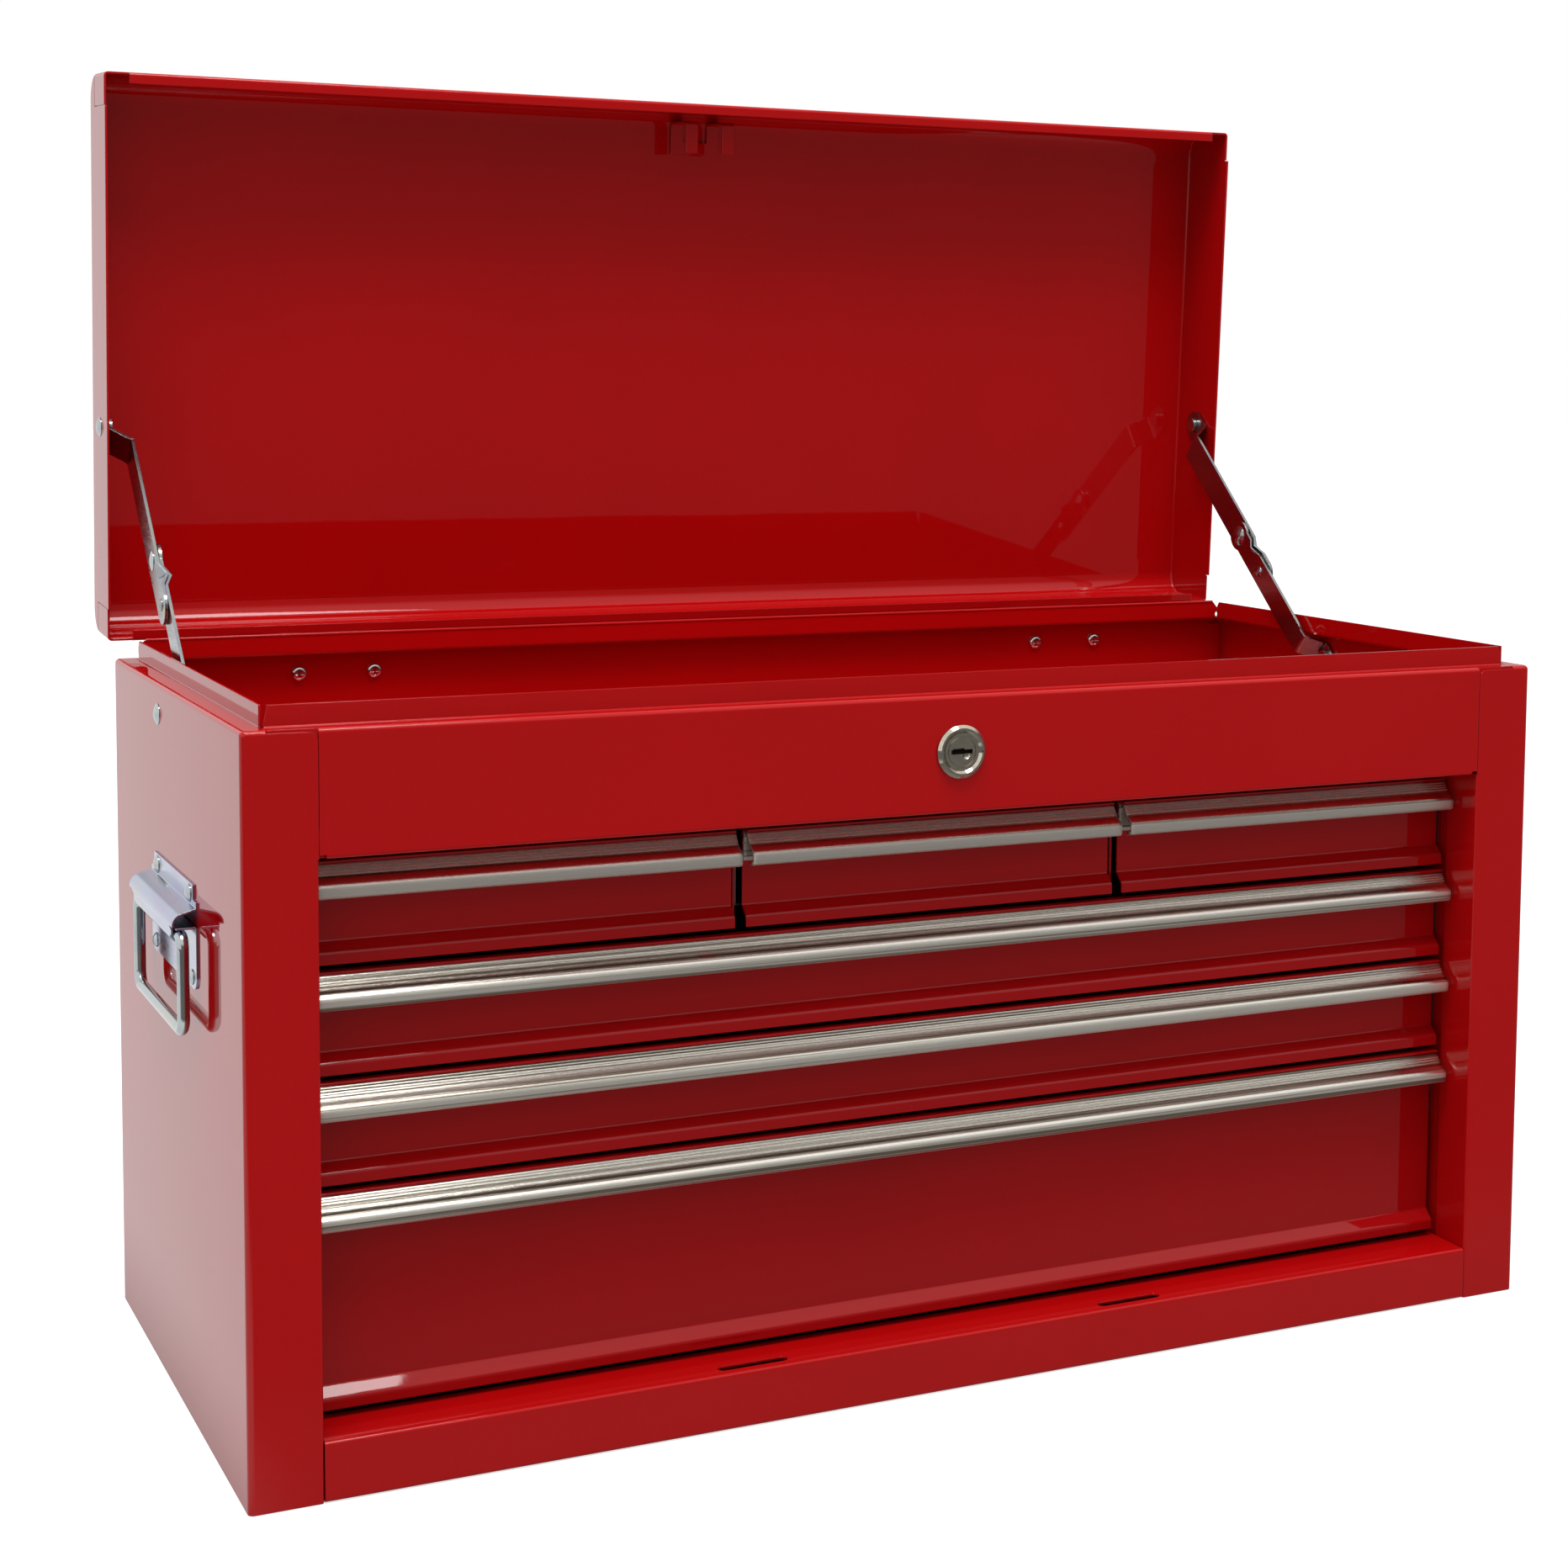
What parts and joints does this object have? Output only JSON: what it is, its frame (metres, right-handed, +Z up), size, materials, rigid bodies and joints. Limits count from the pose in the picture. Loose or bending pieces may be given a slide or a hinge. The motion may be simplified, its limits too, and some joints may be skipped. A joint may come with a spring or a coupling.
{
  "type": "portable tool box with drawers",
  "caption": "Sheet-steel tool box with a lift-up lid on folding stays, drawers on ball slides and a lifting handle on each side.",
  "frame": {"origin": "on the floor, at the centre of the cabinet's footprint", "axes": "+X to the right as seen from the front, +Y to the rear, +Z up; the drawers open towards -Y"},
  "size_m": [0.6206, 0.3196, 0.5671],
  "materials": {
    "red_paint": "high gloss red enamel",
    "drawer_paint": "high gloss red enamel",
    "zinc": "bright zinc plating",
    "dark_zinc": "zinc plating, slightly oily",
    "pull_alloy": "satin anodised extrusion",
    "lock_chrome": "polished chrome plating",
    "rivet_steel": "bright formed steel"
  },
  "bodies": {
    "cabinet": {"left_side_panel": "red_paint", "right_side_panel": "red_paint", "rear_panel": "red_paint", "lock_rail": "red_paint", "base_pan": "red_paint", "till_floor": "red_paint", "slide_carriers": "red_paint", "cabinet_slide_rails": "dark_zinc", "cabinet_hinge_leaves": "zinc", "hinge_pins": "rivet_steel", "hinge_screws": "rivet_steel", "handle_plates": "zinc", "handle_rivets": "rivet_steel", "lock_barrel": "lock_chrome", "lock_nut": "zinc", "stay_cabinet_rivets": "rivet_steel"},
    "lid": {"lid_shell": "red_paint", "lid_striker": "red_paint", "lid_hinge_leaves": "zinc", "stay_lid_rivets": "rivet_steel"},
    "left_upper_stay": {"left_upper_link": "zinc", "left_knee_rivet": "rivet_steel"},
    "right_upper_stay": {"right_upper_link": "zinc", "right_knee_rivet": "rivet_steel"},
    "left_lower_stay": {"left_lower_link": "zinc"},
    "right_lower_stay": {"right_lower_link": "zinc"},
    "left_handle": {"left_bail": "rivet_steel"},
    "right_handle": {"right_bail": "rivet_steel"},
    "lock": {"lock_plug": "lock_chrome", "lock_cam": "zinc"},
    "small_left_drawer": {"small_left_tray": "drawer_paint", "small_left_front": "drawer_paint", "small_left_pull": "pull_alloy", "small_left_rails": "dark_zinc"},
    "small_left_balls": {"small_left_cages": "dark_zinc"},
    "small_mid_drawer": {"small_mid_tray": "drawer_paint", "small_mid_front": "drawer_paint", "small_mid_pull": "pull_alloy", "small_mid_rails": "dark_zinc"},
    "small_mid_balls": {"small_mid_cages": "dark_zinc"},
    "small_right_drawer": {"small_right_tray": "drawer_paint", "small_right_front": "drawer_paint", "small_right_pull": "pull_alloy", "small_right_rails": "dark_zinc"},
    "small_right_balls": {"small_right_cages": "dark_zinc"},
    "second_drawer": {"second_tray": "drawer_paint", "second_front": "drawer_paint", "second_pull": "pull_alloy", "second_rails": "dark_zinc"},
    "second_balls": {"second_cages": "dark_zinc"},
    "third_drawer": {"third_tray": "drawer_paint", "third_front": "drawer_paint", "third_pull": "pull_alloy", "third_rails": "dark_zinc"},
    "third_balls": {"third_cages": "dark_zinc"},
    "deep_drawer": {"deep_tray": "drawer_paint", "deep_front": "drawer_paint", "deep_pull": "pull_alloy", "deep_rails": "dark_zinc"},
    "deep_balls": {"deep_cages": "dark_zinc"}
  },
  "joints": [
    {"name": "lid_hinge", "type": "hinge", "parent": "cabinet", "child": "lid", "pos_m": [0, 0.1412, 0.2946], "axis": [-1, 0, 0], "range_deg": [-87.2, 0]},
    {"name": "left_lower_stay_pivot", "type": "hinge", "parent": "cabinet", "child": "left_lower_stay", "pos_m": [-0.2978, 0.0285, 0.287], "axis": [-1, 0, 0], "range_deg": [-117.04, 0]},
    {"name": "left_upper_stay_pivot", "type": "hinge", "parent": "lid", "child": "left_upper_stay", "pos_m": [-0.2978, 0.1605, 0.405], "axis": [-1, 0, 0], "range_deg": [0, 129.13]},
    {"name": "right_lower_stay_pivot", "type": "hinge", "parent": "cabinet", "child": "right_lower_stay", "pos_m": [0.2978, 0.0285, 0.287], "axis": [-1, 0, 0], "range_deg": [-117.04, 0]},
    {"name": "right_upper_stay_pivot", "type": "hinge", "parent": "lid", "child": "right_upper_stay", "pos_m": [0.2978, 0.1605, 0.405], "axis": [-1, 0, 0], "range_deg": [0, 129.13]},
    {"name": "left_handle_pivot", "type": "hinge", "parent": "cabinet", "child": "left_handle", "pos_m": [-0.3062, -0.004, 0.2072], "axis": [0, 1, 0], "range_deg": [0, 90]},
    {"name": "right_handle_pivot", "type": "hinge", "parent": "cabinet", "child": "right_handle", "pos_m": [0.3062, -0.004, 0.2072], "axis": [0, -1, 0], "range_deg": [0, 90]},
    {"name": "lock_turn", "type": "hinge", "parent": "cabinet", "child": "lock", "pos_m": [0, -0.12, 0.276], "axis": [0, 1, 0], "range_deg": [0, 90]},
    {"name": "small_left_drawer_slide", "type": "slide", "parent": "cabinet", "child": "small_left_drawer", "axis": [0, -1, 0], "range_m": [0, 0.16]},
    {"name": "small_left_balls_slide", "type": "slide", "parent": "cabinet", "child": "small_left_balls", "axis": [0, -1, 0], "range_m": [0, 0.0801]},
    {"name": "small_mid_drawer_slide", "type": "slide", "parent": "cabinet", "child": "small_mid_drawer", "axis": [0, -1, 0], "range_m": [0, 0.16]},
    {"name": "small_mid_balls_slide", "type": "slide", "parent": "cabinet", "child": "small_mid_balls", "axis": [0, -1, 0], "range_m": [0, 0.0801]},
    {"name": "small_right_drawer_slide", "type": "slide", "parent": "cabinet", "child": "small_right_drawer", "axis": [0, -1, 0], "range_m": [0, 0.16]},
    {"name": "small_right_balls_slide", "type": "slide", "parent": "cabinet", "child": "small_right_balls", "axis": [0, -1, 0], "range_m": [0, 0.0801]},
    {"name": "second_drawer_slide", "type": "slide", "parent": "cabinet", "child": "second_drawer", "axis": [0, -1, 0], "range_m": [0, 0.16]},
    {"name": "second_balls_slide", "type": "slide", "parent": "cabinet", "child": "second_balls", "axis": [0, -1, 0], "range_m": [0, 0.0801]},
    {"name": "third_drawer_slide", "type": "slide", "parent": "cabinet", "child": "third_drawer", "axis": [0, -1, 0], "range_m": [0, 0.16]},
    {"name": "third_balls_slide", "type": "slide", "parent": "cabinet", "child": "third_balls", "axis": [0, -1, 0], "range_m": [0, 0.0801]},
    {"name": "deep_drawer_slide", "type": "slide", "parent": "cabinet", "child": "deep_drawer", "axis": [0, -1, 0], "range_m": [0, 0.16]},
    {"name": "deep_balls_slide", "type": "slide", "parent": "cabinet", "child": "deep_balls", "axis": [0, -1, 0], "range_m": [0, 0.0801]}
  ],
  "couplings": [
    {"joint": "left_lower_stay_pivot", "follows": "lid_hinge", "ratio": 1.3421},
    {"joint": "left_upper_stay_pivot", "follows": "lid_hinge", "ratio": -1.4807},
    {"joint": "right_lower_stay_pivot", "follows": "lid_hinge", "ratio": 1.3421},
    {"joint": "right_upper_stay_pivot", "follows": "lid_hinge", "ratio": -1.4807},
    {"joint": "small_left_balls_slide", "follows": "small_left_drawer_slide", "ratio": 0.5},
    {"joint": "small_mid_balls_slide", "follows": "small_mid_drawer_slide", "ratio": 0.5},
    {"joint": "small_right_balls_slide", "follows": "small_right_drawer_slide", "ratio": 0.5},
    {"joint": "second_balls_slide", "follows": "second_drawer_slide", "ratio": 0.5},
    {"joint": "third_balls_slide", "follows": "third_drawer_slide", "ratio": 0.5},
    {"joint": "deep_balls_slide", "follows": "deep_drawer_slide", "ratio": 0.5}
  ]
}
